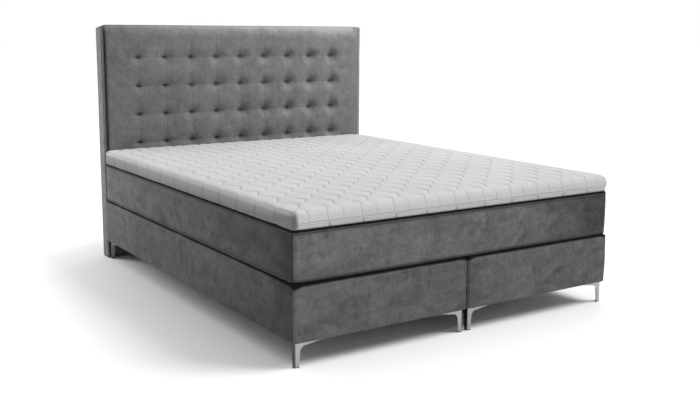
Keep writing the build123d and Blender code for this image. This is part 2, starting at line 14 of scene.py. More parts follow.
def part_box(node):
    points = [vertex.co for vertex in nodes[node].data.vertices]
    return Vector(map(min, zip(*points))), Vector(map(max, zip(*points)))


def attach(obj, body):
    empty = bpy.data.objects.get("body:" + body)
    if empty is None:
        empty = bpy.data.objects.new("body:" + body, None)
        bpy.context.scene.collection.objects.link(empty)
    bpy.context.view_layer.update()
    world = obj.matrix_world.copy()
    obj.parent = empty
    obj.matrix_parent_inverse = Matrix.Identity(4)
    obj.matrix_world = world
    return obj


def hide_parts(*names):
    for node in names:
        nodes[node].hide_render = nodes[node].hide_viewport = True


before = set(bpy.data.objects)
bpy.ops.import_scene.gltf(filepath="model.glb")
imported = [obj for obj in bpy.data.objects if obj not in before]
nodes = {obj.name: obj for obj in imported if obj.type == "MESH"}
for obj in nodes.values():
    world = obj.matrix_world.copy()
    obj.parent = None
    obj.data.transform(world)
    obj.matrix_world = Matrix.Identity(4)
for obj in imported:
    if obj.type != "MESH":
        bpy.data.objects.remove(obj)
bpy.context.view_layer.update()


# Box insides. Each box is a glued timber frame with cross slats, a block of pocketed springs,
# felt and foam on top, and a grey cloth stapled under it, inside the turned-in velvet.
def add(tree, kind, **values):
    """A shader node. Names in small letters are its settings, and capitals are its sockets."""
    made = tree.nodes.new("ShaderNode" + kind)
    for key, value in values.items():
        if key[0].islower():
            setattr(made, key, value)
        elif isinstance(value, bpy.types.NodeSocket):
            tree.links.new(value, made.inputs[key.replace("_", " ")])
        else:
            made.inputs[key.replace("_", " ")].default_value = value
    return made


def reckon(tree, operation, first, second=0.0):
    """One sum on two numbers or sockets."""
    made = tree.nodes.new("ShaderNodeMath")
    made.operation = operation
    for socket, value in zip(made.inputs, (first, second)):
        if isinstance(value, bpy.types.NodeSocket):
            tree.links.new(value, socket)
        else:
            socket.default_value = value
    return made.outputs[0]


def material(name, **sockets):
    """A new material, its node tree, its shader with these sockets set, and its own space."""
    made = bpy.data.materials.new(name)
    made.use_nodes = True
    tree = made.node_tree
    shader = tree.nodes["Principled BSDF"]
    for key, value in sockets.items():
        shader.inputs[key.replace("_", " ")].default_value = value
    return made, tree, shader, tree.nodes.new("ShaderNodeTexCoord").outputs["Object"]


def cloudy(tree, space, scale, detail=2.0, stretch=(1, 1, 1), twist=0.0):
    """Noise in the piece's own space, stretched along its axes."""
    place = add(tree, "Mapping", Vector=space, Scale=stretch)
    return add(tree, "TexNoise", Vector=place.outputs[0], Scale=scale, Detail=detail,
               Distortion=twist).outputs[0]


def spread(tree, value, low, high, out_low, out_high):
    """A value between low and high brought to another span, and held inside it."""
    return add(tree, "MapRange", Value=value, From_Min=low, From_Max=high, To_Min=out_low,
               To_Max=out_high).outputs[0]


def tint(tree, shader, value, dark, light):
    """Base colour from dark to light with a value from 0 to 1."""
    ramp = add(tree, "ValToRGB", Fac=value)
    ramp.color_ramp.elements[0].color = (*dark, 1)
    ramp.color_ramp.elements[1].color = (*light, 1)
    tree.links.new(ramp.outputs[0], shader.inputs["Base Color"])


def raise_grain(tree, shader, height, depth, strength=1.0):
    """Small relief from a height value."""
    bump = add(tree, "Bump", Height=height, Distance=depth, Strength=strength)
    tree.links.new(bump.outputs[0], shader.inputs["Normal"])


def wood(name, dark, light, stretch, scale, rough, relief=0.0006):
    """Sawn timber or plywood with its grain along the axis that is stretched least."""
    made, tree, shader, space = material(name, Roughness=rough)
    grain = cloudy(tree, space, scale, 6.0, stretch, 0.6)
    tint(tree, shader, spread(tree, grain, 0.3, 0.7, 0.0, 1.0), dark, light)
    raise_grain(tree, shader, grain, relief)
    return made


def felted(name, dark, light, scale, rough=0.95, relief=0.0008):
    """Foam, felt or fleece: a matt cloud of fibres or cells."""
    made, tree, shader, space = material(name, Roughness=rough)
    cells = cloudy(tree, space, scale, 3.0)
    tint(tree, shader, spread(tree, cells, 0.3, 0.7, 0.0, 1.0), dark, light)
    raise_grain(tree, shader, cells, relief)
    return made


def dress(finish, *names):
    """Give CAD nodes their finish."""
    for name in names:
        nodes[name].data.materials.clear()
        nodes[name].data.materials.append(finish)


pine = wood("pine", dark=(0.42, 0.27, 0.13), light=(0.66, 0.47, 0.27), stretch=(30, 1, 30),
            scale=2.2, rough=0.7)
beech_ply = wood("plywood", dark=(0.45, 0.31, 0.17), light=(0.62, 0.46, 0.29),
                 stretch=(24, 24, 1.5), scale=2.6, rough=0.65)
foam = felted("foam", (0.62, 0.58, 0.44), (0.78, 0.74, 0.60), 420.0)
felt = felted("felt", (0.20, 0.20, 0.21), (0.42, 0.41, 0.40), 260.0)
pockets = felted("spring pockets", (0.62, 0.62, 0.60), (0.80, 0.80, 0.78), 34.0, 0.8)
black_cloth = felted("black lining cloth", (0.010, 0.010, 0.011), (0.028, 0.028, 0.030), 700.0)
base_cloth = felted("grey base cloth", (0.34, 0.34, 0.34), (0.48, 0.48, 0.48), 700.0)
for hand in ("left", "right"):
    dress(pine, f"box_rails_{hand}", f"box_slats_{hand}", f"box_corner_plates_{hand}")
    dress(pockets, f"box_springs_{hand}")
    dress(felt, f"box_felt_{hand}")
    dress(foam, f"box_foam_{hand}")
    dress(base_cloth, f"box_base_cloth_{hand}")


# Box covers. Grey short-pile velvet is pulled over the foam and the rails of each box, turned in
# under the frame and stapled there. It draws flat, swells a little, and its nap is rubbed uneven.
def lines(low, high, step, edge=0.0, rows=4):
    """Places from low to high about a step apart, closer in the edge zone at both ends."""
    span = high - low - 2 * edge
    count = max(1, round(span / step))
    inner = [low + edge + span * i / count for i in range(count + 1)]
    rim = [edge * i / rows for i in range(rows)] if edge else []
    return [low + t for t in rim] + inner + [high - t for t in reversed(rim)]


def crate(xs, ys, zs, plain=()):
    """Closed box with grid lines at the given places. Ends named in plain are one face each.

    It is built on the numbers of its grid lines and then set to their places.
    """
    mesh = bmesh.new()
    spans = (xs, ys, zs)
    for axis in range(3):
        a, b = (axis + 1) % 3, (axis + 2) % 3
        cells_a, cells_b = len(spans[a]) - 1, len(spans[b]) - 1
        for end in (0, len(spans[axis]) - 1):
            if (axis, bool(end)) in plain:
                continue
            place = Matrix.Diagonal((0, 0, 0, 1))
            place[a][0], place[a][3] = cells_a, cells_a / 2
            place[b][1], place[b][3] = cells_b, cells_b / 2
            place[axis][2], place[axis][3] = 1, end
            bmesh.ops.create_grid(mesh, x_segments=cells_a, y_segments=cells_b, size=0.5,
                                  matrix=place)
    bmesh.ops.remove_doubles(mesh, verts=mesh.verts, dist=0.01)
    if plain:
        open_edges = [e for e in mesh.edges if e.is_boundary]
        bmesh.ops.holes_fill(mesh, edges=open_edges, sides=0)
    bmesh.ops.recalc_face_normals(mesh, faces=mesh.faces)
    for v in mesh.verts:
        v.co = (xs[round(v.co.x)], ys[round(v.co.y)], zs[round(v.co.z)])
    return mesh


def round_off(point, low, high, corner, foot_edge, top_edge):
    """Where a point of a sharp box lies once its upright corners and level edges are round."""
    deep = min(point[2] - low[2], high[2] - point[2])
    edge = top_edge if high[2] - point[2] < point[2] - low[2] else foot_edge
    inward = min(point[i] - low[i] if j == 0 else high[i] - point[i]
                 for i in (0, 1) for j in (0, 1))
    x, y, z = point
    if inward < edge and deep < edge:
        turn = ((inward - deep) / edge + 1) * math.pi / 4
        drop = edge * (1 - math.sin(turn))
        inset = edge * (1 - math.cos(turn))
        plan = []
        for value, start, stop in ((x, low[0], high[0]), (y, low[1], high[1])):
            near_start = value - start < stop - value
            t = value - start if near_start else stop - value
            if deep > 1e-9:
                t += inset * max(0.0, 1 - t / edge)
            elif t < edge:
                t = edge * (1 - math.cos((t / edge + 1) * math.pi / 4))
            plan.append(start + t if near_start else stop - t)
        x, y = plan
        z = high[2] - drop if edge == top_edge and z > (low[2] + high[2]) / 2 else low[2] + drop
    if corner > 0:
        hub_x = min(max(x, low[0] + corner), high[0] - corner)
        hub_y = min(max(y, low[1] + corner), high[1] - corner)
        out_x, out_y = x - hub_x, y - hub_y
        if out_x and out_y:
            share = max(abs(out_x), abs(out_y)) / math.hypot(out_x, out_y)
            x, y = hub_x + out_x * share, hub_y + out_y * share
    return Vector((x, y, z))


def swell(mesh, amount):
    """Push every point out along its normal by what amount gives for its place and normal."""
    mesh.normal_update()
    moves = [v.normal * amount(v.co, v.normal) for v in mesh.verts]
    for v, move in zip(mesh.verts, moves):
        v.co += move


def uneven(point, scale, seed=0.0):
    """Smooth noise from about -1 to 1."""
    return noise.noise(Vector(point) * scale + Vector((seed, seed * 0.7, -seed)))


def fade(value, start, stop):
    """0 before start, 1 after stop, smooth between."""
    t = min(1.0, max(0.0, (value - start) / (stop - start)))
    return t * t * (3 - 2 * t)


side_skin, tiny = 0.002, 1e-6


def painted_side_shade(co, foot_y, head_y, edge_x):
    """How much painted shade darkens the left side, which faces away from the key light.

    It is a sum of three fades from the foot end: over the whole length, a metre and a hand's
    length.
    """
    if co.x > edge_x + side_skin:
        return 0.0
    dark = 0.10 * (1 - fade(co.y, foot_y, head_y)) + 0.24 * (1 - fade(co.y, foot_y, foot_y + 1.0))
    return dark + 0.20 * (1 - fade(co.y, foot_y, foot_y + 0.22))


def joint_shade_drift(co, low, high):
    """How far the painted shade of a joint creeps over an edge.

    It is a little uneven, widest at the two foot corners and slim along the left side.
    """
    corner_creep, waver, side_slimness = 0.0075, 0.0016, 0.0030
    aside = 1 - fade(min(co.x - low.x, high.x - co.x), 0.004, 0.040)
    ahead = 1 - fade(co.y - low.y, 0.004, 0.040)
    beside = (1 - fade(co.x, low.x, low.x + 0.02)) * fade(co.y, low.y + 0.04, low.y + 0.3)
    creep = waver * uneven((co.x, co.y, 0.0), 6.0, 8.0) + corner_creep * aside * ahead
    return creep - side_slimness * beside


def piece(name, mesh, finish, body, stands_for):
    """Turn a finished mesh into a piece of the bed."""
    data = bpy.data.meshes.new(name)
    mesh.to_mesh(data)
    mesh.free()
    made = bpy.data.objects.new(name, data)
    bpy.context.scene.collection.objects.link(made)
    data.materials.append(finish)
    for face in data.polygons:
        face.use_smooth = True
    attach(made, body)
    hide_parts(*stands_for)
    return made


def velvet(name, nap, level=0.114, rubbed=1.0):
    """Short-pile velvet with a pale sheen at flat angles.

    Its tone is a product of patterns, from patches where the pile leans down to single tufts.
    Its attributes carry painted shade, which darkens it in joints, dimples and along the left
    side, and painted highlights, which brighten it.
    """
    made, tree, shader, space = material(name, Roughness=0.9, Specular_IOR_Level=0.10,
                                         Sheen_Weight=0.14, Sheen_Roughness=0.36)
    shader.inputs["Sheen Tint"].default_value = (0.62, 0.62, 0.62, 1)
    lean = cloudy(tree, space, 5.5, 7.0, nap, 1.4)
    rubs = cloudy(tree, space, 21.0, 6.0, nap, 1.0)
    pile = cloudy(tree, space, 700.0, 2.0)
    tufts = cloudy(tree, space, 120.0, 4.0)
    stroked = cloudy(tree, space, 8.0, 9.0, (1.4, 1.4, 1), 2.6)
    weave = cloudy(tree, space, 85.0, 5.0, (1, 1, 0.16))
    smudges = cloudy(tree, space, 6.5, 8.0, (1, 1, 0.8), 1.8)
    # These two attributes carry painted shade and painted highlights.
    painted_shade = add(tree, "Attribute", attribute_name="painted_shade").outputs["Fac"]
    painted_highlight = add(tree, "Attribute", attribute_name="painted_highlight").outputs["Fac"]
    shade = spread(tree, lean, 0.33, 0.67, 1 - 0.20 * rubbed, 1.16)
    for pattern, *limits in (
        (rubs, 0.32, 0.68, 1 - 0.15 * rubbed, 1 + 0.12 * rubbed),
        (pile, 0.25, 0.75, 0.84, 1.16),
        (tufts, 0.3, 0.7, 0.90, 1.10),
        (stroked, 0.54, 0.70, 1.03, 1 - 0.17 * rubbed),
        (weave, 0.3, 0.7, 0.93, 1.07),
        (smudges, 0.60, 0.74, 1.01, 1 - 0.30 * rubbed),
        (painted_shade, 0.0, 1.0, 1.0, 0.04),
        (painted_highlight, 0.0, 1.0, 1.0, 2.6),
    ):
        shade = reckon(tree, "MULTIPLY", shade, spread(tree, pattern, *limits))
    blue = 1.01
    tint(tree, shader, reckon(tree, "MULTIPLY", shade, 0.5), (0, 0, 0),
         (level * 2, level * 2, level * 2 * blue))
    relief = reckon(tree, "ADD", reckon(tree, "MULTIPLY", pile, 0.5),
                    reckon(tree, "MULTIPLY", rubs, 2.0))
    raise_grain(tree, shader, relief, 0.0011, 0.6)
    return made


box_velvet = velvet("box velvet", nap=(1, 1, 1.6))
cover_return = 0.060
return_lift = 0.0045
box_corner, box_foot_edge, box_top_edge = 0.012, 0.007, 0.010
cell, upright_cell, zone, zone_rows = 0.012, 0.010, 0.016, 5
rim_shade_width = (0.009, 0.021)
joint_shade_band, joint_shade_core = 0.0105, 0.005
box_swell, box_unevenness, box_ripple, hem_wrinkle = 0.0016, 0.0022, 0.0005, 0.0011
for hand, side in (("left", -1), ("right", 1)):
    low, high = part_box(f"box_cover_{hand}")
    shell = crate(lines(low.x, high.x, cell, zone, zone_rows),
                  lines(low.y, high.y, cell, zone, zone_rows),
                  lines(low.z, high.z, upright_cell, zone, zone_rows))
    painted_shade = shell.verts.layers.float.new("painted_shade")
    for v in shell.verts:
        sharp = tuple(v.co)
        v.co = round_off(sharp, low, high, box_corner, box_foot_edge, box_top_edge)
        # Painted shade darkens the left side and the top rim, where the box meets the mattress.
        dark = painted_side_shade(v.co, low.y, high.y, low.x) if side < 0 else 0.0
        inward = min(sharp[0] - low.x, high.x - sharp[0], sharp[1] - low.y, high.y - sharp[1])
        rim = 1 - fade(inward, *rim_shade_width)
        top = high.z - joint_shade_drift(v.co, low, high)
        v[painted_shade] = max(rim * fade(v.co.z, top - joint_shade_band, top - joint_shade_core), dark)
        if sharp[2] - low.z < tiny and inward > cover_return:
            v.co.z += return_lift

    def pull(co, normal):
        """Swell of the velvet on the outer faces, with small wrinkles at the lower hem."""
        if abs(normal.z) > 0.8 or normal.y > 0.3 or side * normal.x < -0.3:
            return 0.0
        height = (co.z - low.z) / (high.z - low.z)
        belly = max(0.0, math.sin(math.pi * height)) ** 0.6
        soft = 0.5 + 0.5 * uneven((co.x, co.y, co.z * 1.6), 5.0, 3.1 * side)
        fine = uneven((co.x, co.y, co.z * 0.5), 26.0, 7.7)
        hem = (1 - fade(height, 0.0, 0.35)) * uneven((co.x, co.y, co.z * 0.15), 24.0, 1.7)
        swelling = box_swell + box_unevenness * soft + box_ripple * fine
        return belly * swelling + hem_wrinkle * hem

    swell(shell, pull)
    piece(f"box_cover_{hand}_velvet", shell, box_velvet, "base",
          [f"box_cover_{hand}"])


# Legs and joining plates. Four legs under each box are bent from bright sheet with a flange that
# is screwed up into the corner block. They stand on small glides, and steel plates join the boxes.
leg_sheet = 0.003
outer_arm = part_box("leg_right_foot_outer")[1].x - leg_sheet
inner_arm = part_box("leg_right_foot_inner")[0].x + leg_sheet


def metal(name, level, rough, scratches):
    """Bright metal with faint brushed lines and smudges.

    Painted shade darkens the legs' arms that run along the bed, which lie past outer_arm and short
    of inner_arm on either side.
    """
    made, tree, shader, space = material(name, Metallic=1.0, Roughness=rough)
    brushed = cloudy(tree, space, 60.0, 4.0, (1, 1, 24))
    smudge_and_pooled_shade = cloudy(tree, space, 14.0, 3.0)
    across = reckon(tree, "ABSOLUTE", add(tree, "SeparateXYZ", Vector=space).outputs[0])
    arm_shade, step = 0.30, 0.001
    arms = reckon(tree, "MULTIPLY", spread(tree, across, outer_arm, outer_arm + step, 1.0, arm_shade),
                  spread(tree, across, inner_arm - step, inner_arm, arm_shade, 1.0))
    tint(tree, shader, reckon(tree, "MULTIPLY", spread(tree, smudge_and_pooled_shade, 0.3, 0.7, 0.80, 1.0), arms),
         (0, 0, 0), (level * 1.05,) * 3)
    tree.links.new(spread(tree, brushed, 0.3, 0.7, rough * 0.8, rough * 1.25),
                   shader.inputs["Roughness"])
    raise_grain(tree, shader, brushed, scratches, 0.4)
    return made


def hard_edge(names, width, segments=2):
    """Small polished round on the edges of CAD nodes."""
    for name in names:
        made = nodes[name].modifiers.new("edge", "BEVEL")
        made.width, made.segments = width, segments
        made.limit_method, made.angle_limit = "ANGLE", math.radians(40)


leg_edge = 0.0005
chrome = metal("satin chrome", level=0.41, rough=0.24, scratches=0.0001)
zinc = metal("zinc plate", level=0.50, rough=0.38, scratches=0.0002)
black_plastic = felted("black plastic", (0.012, 0.012, 0.012), (0.022, 0.022, 0.022), 300.0, 0.45)
legs = [name for name in nodes if name.startswith("leg_left") or name.startswith("leg_right")]
dress(chrome, *legs)
hard_edge(legs, leg_edge)
dress(zinc, "leg_screws", "join_plates", "join_screws")
dress(black_plastic, "leg_glides")

# Headboard frame. Plywood cheeks stand on plastic glides, with timber rails and studs between
# them and a plywood board in front. Bolts go through the frame into tee nuts in the boxes.
dress(beech_ply, "headboard_cheek_left", "headboard_cheek_right", "headboard_board",
      "lower_panel_board")
dress(pine, "headboard_rails", "headboard_studs", "lower_panel_battens")
dress(zinc, "headboard_bolts", "headboard_tee_nuts")
dress(black_plastic, "headboard_glides")

# Cheek covers. A velvet sleeve is drawn over each cheek and stapled inside, so the outer face and
# the narrow front edge are one piece of cloth, folded in at the top.
# Painted light: the cheek velvet is a lighter copy of the box velvet, standing in for the brighter
# light on the headboard.
cheek_velvet = velvet("cheek velvet", nap=(1, 1, 0.8), level=0.165, rubbed=0.5)
zone, zone_rows = 0.006, 4
cheek_top_edge, cheek_foot_edge = 0.007, 0.001
back_slope = 0.008
joint_shade = 0.72
cheek_slack, cheek_wrinkle = 0.0004, 0.0005
for hand, side, fold_rise, cheek_corner, gleam in (
    ("left", -1, 0.0068, 0.0084, 0.0),
    ("right", 1, 0.0115, 0.003, 0.30),
):
    low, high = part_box(f"cheek_cover_{hand}")
    high = high + Vector((0, 0, fold_rise))
    shell = crate(lines(low.x, high.x, 0.004, zone, zone_rows),
                  lines(low.y, high.y, 0.006, zone, zone_rows),
                  lines(low.z, high.z, 0.010, zone, zone_rows))
    painted_shade = shell.verts.layers.float.new("painted_shade")
    painted_highlight = shell.verts.layers.float.new("painted_highlight")
    for v in shell.verts:
        v.co = round_off(tuple(v.co), low, high, cheek_corner, cheek_foot_edge, cheek_top_edge)
        # Painted highlight along the front edge of the right cheek.
        v[painted_highlight] = gleam * (1 - fade(v.co.y, low.y + 0.002, low.y + 0.012))
        v.co.z -= back_slope * fade(v.co.y, low.y + 0.03, high.y) * fade(v.co.z, 1.0, high.z)
        # Painted shade on the left cheek's front, deepest next to the pad.
        if side < 0:
            at_front = 1 - fade(v.co.y, low.y + 0.012, low.y + 0.030)
            v[painted_shade] = joint_shade * fade(v.co.x, low.x + 0.002, high.x) * at_front

    def draw(co, normal):
        """Slack cloth on the outer face, a little gathered at the top fold."""
        if side * normal.x < 0.3:
            return 0.0
        fold = fade(co.z, high.z - 0.05, high.z - 0.004) * uneven((0, co.y, co.z * 0.2), 90.0)
        return cheek_slack + cheek_wrinkle * (uneven((co.x, co.y, co.z * 0.3), 18.0, side) + fold)

    swell(shell, draw)
    piece(f"cheek_cover_{hand}_velvet", shell, cheek_velvet, "base",
          [f"cheek_cover_{hand}"])

# Tufted pad. Velvet panels are sewn together in a square grid, laid over thick foam and drawn in
# with twine through the foam and the board at every crossing. The cloth laps over the frame's top.
twine = felted("twine", (0.30, 0.28, 0.24), (0.48, 0.45, 0.40), 900.0)
dress(twine, "tuft_ties")
dress(black_plastic, "tuft_washers")

low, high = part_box("tufted_pad_cover")
tuft_pitch = 0.153
first_row = 0.165
tuft_xs = [(i - 4) * tuft_pitch for i in range(9)]
tuft_zs = [high.z - first_row - i * tuft_pitch for i in range(4)]
near_seam = (0.0, 0.0014, 0.0032, 0.0056, 0.0088, 0.013, 0.0185, 0.026, 0.036, 0.048, 0.062)


def seam_lines(seams, start, stop, edge, step):
    """Grid lines that crowd towards each seam and each end, with even ones between."""
    first, last = min(seams), max(seams)
    found = {s + t for s in seams for t in near_seam if s + t < last + 0.07}
    found |= {s - t for s in seams for t in near_seam}
    found |= {s + tuft_pitch / 2 for s in seams if s + tuft_pitch < last + 0.01}
    outer = lines(start, first - near_seam[-1] - step, step, 0)
    outer += lines(last + near_seam[-1] + step, stop, step, 0)
    rim = [edge * i / 7 for i in range(8)]
    found |= {t for t in outer if start + edge * 1.3 < t < stop - edge * 1.3}
    found |= {start + t for t in rim} | {stop - t for t in rim}
    return sorted(found)


topper_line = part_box("topper_cover_upper")[1].z


def bell(t):
    """1 at 0, falling smoothly to 0 at 1."""
    return 0.5 + 0.5 * math.cos(math.pi * min(1.0, t))


seam_depth, row_seam_depth, seam_width = 0.0007, 0.0005, 0.0022
row_depth, row_reach = 0.0022, 0.045
dish_depth, dish_gain, dish_radius = 0.0095, 0.0040, 0.064
core_depth, core_radius, core_stretch = 0.0130, 0.0100, 1.75
pleat_depth, pleat_width, pleat_reach = 0.0022, 0.0040, 0.020
pucker_depth, pucker_reach = 0.0009, 0.045
# Sizes of the painted shade above each tuft and the painted highlight below it.
pool_place, pool_size = (0.022, 0.022), (0.058, 0.036)
pool_shade, pool_gain = 0.19, 0.17
gleam_drop, gleam_size = 0.036, (0.062, 0.036)
gleam_share, gleam_gain = 0.09, 0.08
seam_shade, row_shade, seam_shade_width = 0.16, 0.14, 0.0018
core_shade, pleat_shade = 0.64, 0.36
tuft_reach = 0.16
deepest = 0.0235


def tuft_fall(x, z):
    """How far the velvet is drawn in at a place on the pad, and how much painted shade and painted
    highlight it carries.

    Each tuft is a wide dish with a narrow core, a short pleat to both sides and a ring of
    puckers. Painted shade darkens the seams, the cores and the pleats and pools above each tuft,
    and a painted highlight lies below it, both more towards the right, as if lit from above on the
    right.
    """
    fall = painted_shade = smudge_and_pooled_shade = gleam = 0.0
    for tuft_x in tuft_xs:
        across = x - tuft_x
        if abs(across) > tuft_reach:
            continue
        rightward = tuft_x / tuft_xs[-1]
        fall += seam_depth * math.exp(-(across / seam_width) ** 2)
        painted_shade = max(painted_shade, seam_shade * math.exp(-(across / seam_shade_width) ** 2))
        for tuft_z in tuft_zs:
            up = z - tuft_z
            if abs(up) > tuft_reach:
                continue
            wide = math.hypot(across, up)
            core = math.hypot(across / core_stretch, up) / core_radius
            fall += (dish_depth + dish_gain * rightward) * bell(wide / dish_radius)
            fall += core_depth * math.exp(-core ** 1.3)
            pleat = math.exp(-(up / pleat_width) ** 2 - abs(across) / pleat_reach)
            fall += pleat_depth * pleat
            ring = fade(wide, 0.003, 0.014) * bell(wide / pucker_reach)
            around = 7 * math.atan2(up, across) + 11 * tuft_x + 17 * tuft_z
            fall += pucker_depth * math.sin(around) * ring
            painted_shade = max(painted_shade, core_shade * math.exp(-core ** 2), pleat_shade * pleat)
            pooled = math.hypot((across - pool_place[0]) / pool_size[0],
                                (up - pool_place[1]) / pool_size[1])
            lowest = 0.5 if tuft_z == tuft_zs[-1] else 1.0
            smudge_and_pooled_shade += lowest * (pool_shade + pool_gain * rightward) * bell(pooled)
            below = math.hypot(across / gleam_size[0], (up + gleam_drop) / gleam_size[1])
            gleam += (gleam_share + gleam_gain * rightward) * bell(below)
    for tuft_z in tuft_zs:
        up = z - tuft_z
        if abs(up) < 0.05:
            between = fade(tuft_xs[-1] + 0.05 - abs(x), 0.0, 0.10)
            fall += row_seam_depth * math.exp(-(up / seam_width) ** 2)
            fall += row_depth * between * bell(up / row_reach)
            painted_shade = max(painted_shade, row_shade * math.exp(-(up / seam_shade_width) ** 2))
    return fall, min(0.95, painted_shade + smudge_and_pooled_shade), gleam


def panel_puff(x, z):
    """Swell of the panel between four tufts."""
    across = abs(math.sin(math.pi * (x - tuft_xs[0]) / tuft_pitch))
    up = abs(math.sin(math.pi * (z - tuft_zs[0]) / tuft_pitch))
    inside = fade(tuft_xs[-1] + 0.03 - abs(x), -0.04, 0.03)
    inside *= fade(z, tuft_zs[-1] - 0.12, tuft_zs[-1] - 0.02)
    inside *= 1 - fade(z, tuft_zs[0] + 0.02, tuft_zs[0] + 0.10)
    return inside * (0.5 * across ** 0.7 + 0.5 * up ** 0.7)


roll_depth, roll_height, left_roll, left_roll_width = 0.034, 0.058, 0.0060, 0.050
end_fold = 0.85
panel_dip, panel_waver = 0.0028, 0.0005


def pad_depth(x, z):
    """How far the pad's face lies behind its foremost plane, with its painted shade and its
    painted highlight.

    The face rolls back over the frame's top, less at the right end where it is folded down, and
    a little at the left end. Under the topper's top it is held flat.
    """
    fall, painted_shade, gleam = tuft_fall(x, z)
    aside, above = high.x - abs(x), high.z - z
    upward = min(0.98, max(0.0, 1 - above / roll_height))
    roll = roll_depth * (1 - math.sqrt(1 - upward * upward))
    roll *= 1 - end_fold * fade(x, high.x - 0.030, high.x - 0.004)
    roll += left_roll * max(0.0, 1 - aside / left_roll_width) ** 2 if x < 0 else 0.0
    slack = panel_dip * (1 - panel_puff(x, z))
    slack += panel_waver * (1 + uneven((x, z, 0.0), 13.0))
    slack *= 1 - fade(x, 0.70, 0.785)
    free = fade(z, topper_line - 0.030, topper_line + 0.004)
    return free * roll + min(deepest, free * slack + fall), painted_shade, gleam


top_fill, end_fill, end_square = 0.0068, 0.0013, 0.010
strip_height, pad_foot_edge = 0.060, 0.001


def press(mesh, bottom, top, rounding):
    """Round a block of the pad's outline, draw its face in at the tufts, and paint its shade and
    highlights.

    The top is filled up a little and the right end is squarer than the rest. A painted highlight
    strip lies along the top edge, brighter towards the right, the face is painted lighter towards
    the right, and painted shade darkens the left end and the left part of the face.
    """
    layer = mesh.verts.layers.float.new("painted_shade")
    painted_highlight = mesh.verts.layers.float.new("painted_highlight")
    for v in mesh.verts:
        x, y, z = v.co
        edge = rounding - end_square * fade(x, top.x - 0.022, top.x - 0.018)
        face = round_off((x, z, -y), (bottom.x, bottom.z, -top.y), (top.x, top.z, -bottom.y),
                         edge, pad_foot_edge, edge)
        x, y, z = face.x, -face.z, face.y
        x += end_fill * fade(x, top.x - 0.004, top.x - 0.0005)
        front = 1 - fade(y, bottom.y + 0.006, bottom.y + 0.036)
        depth, painted_shade, gleam = pad_depth(x, z)
        along = (x - low.x) / (high.x - low.x)
        strip = max(0.0, 1 - (high.z - z) / strip_height)
        # Painted highlight: the gleam below the tufts, the strip along the top edge and a lighter
        # face towards the right.
        v[painted_highlight] = gleam + (0.06 + 0.94 * along) * (0.44 * strip + 0.62 * strip ** 3)
        v[painted_highlight] += along * 0.07 * fade(z, tuft_zs[0] - 0.02, high.z - 0.05)
        lift = fade(z, high.z - 0.05, high.z) * fade(x, low.x, low.x + 0.03)
        v.co = (x, y + front * depth, z + top_fill * lift)
        # Painted shade at the left end and over the left part of the face.
        left_joint_shade = joint_shade * (1 - fade(x, low.x, low.x + 0.026))
        shade = 0.13 * (1 - fade(x, low.x, low.x + 0.75))
        v[layer] = max(painted_shade + shade, left_joint_shade) * front


cloth = 0.0028
pad_edge_zone, pad_cell = 0.018, 0.013
pad_round, foam_round = 0.014, 0.011
pad_xs = seam_lines(tuft_xs, low.x, high.x, pad_edge_zone, pad_cell)
pad_zs = seam_lines(tuft_zs, low.z, high.z, pad_edge_zone, pad_cell)
board_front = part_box("headboard_board")[0].y
foam_low, foam_high = low + Vector((cloth, cloth, cloth)), high - Vector((cloth, 0, cloth))
foam_high.y = board_front - 0.0002
block = crate([min(max(x, foam_low.x), foam_high.x) for x in pad_xs[1:-1]],
              lines(foam_low.y, foam_high.y, 0.008, 0.014, 5),
              [min(max(z, foam_low.z), foam_high.z) for z in pad_zs[1:-1]], plain={(1, True)})
press(block, foam_low, foam_high, foam_round)
piece("tufted_pad_foam", block, foam, "base", ["pad_foam"])

pad = crate(pad_xs, lines(low.y, high.y, 0.008, pad_edge_zone, 6), pad_zs, plain={(1, True)})
press(pad, low, high, pad_round)
under_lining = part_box("headboard_back_lining")[0].y - 0.0008
lap, lining_top = 0.0118, high.z - 0.0115
for v in pad.verts:
    if v.co.z < lining_top:
        v.co.y = min(v.co.y, under_lining)
pad.normal_update()
back = max(pad.faces, key=lambda f: f.calc_area())
bmesh.ops.inset_individual(pad, faces=[back], thickness=lap)
for v in back.verts:
    v.co.y = under_lining
# Painted light: the pad velvet is a lighter copy of the box velvet, standing in for the brighter
# light on the headboard.
pad_velvet = velvet("pad velvet", nap=(1, 1, 1.3), level=0.174, rubbed=0.5)
piece("tufted_pad_velvet", pad, pad_velvet, "base", ["tufted_pad_cover"])

# Lower panel. A plain velvet panel fills the headboard's front under the pad, where the boxes are
# bolted against it. It is a thin board in a velvet tray on two battens.
low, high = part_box("lower_panel_cover")
panel_corner, panel_back_edge, panel_face_edge = 0.003, 0.0005, 0.006
shell = crate(lines(low.x, high.x, 0.030, 0.008, 4), lines(low.y, high.y, 0.006, 0.004, 3),
              lines(low.z, high.z, 0.020, 0.008, 4))
for v in shell.verts:
    x, y, z = v.co
    face = round_off((x, z, -y), (low.x, low.z, -high.y), (high.x, high.z, -low.y),
                     panel_corner, panel_back_edge, panel_face_edge)
    v.co = (face.x, -face.z, face.y)
piece("lower_panel_velvet", shell, velvet("lower panel velvet", nap=(1, 1, 1)), "base",
      ["lower_panel_cover"])

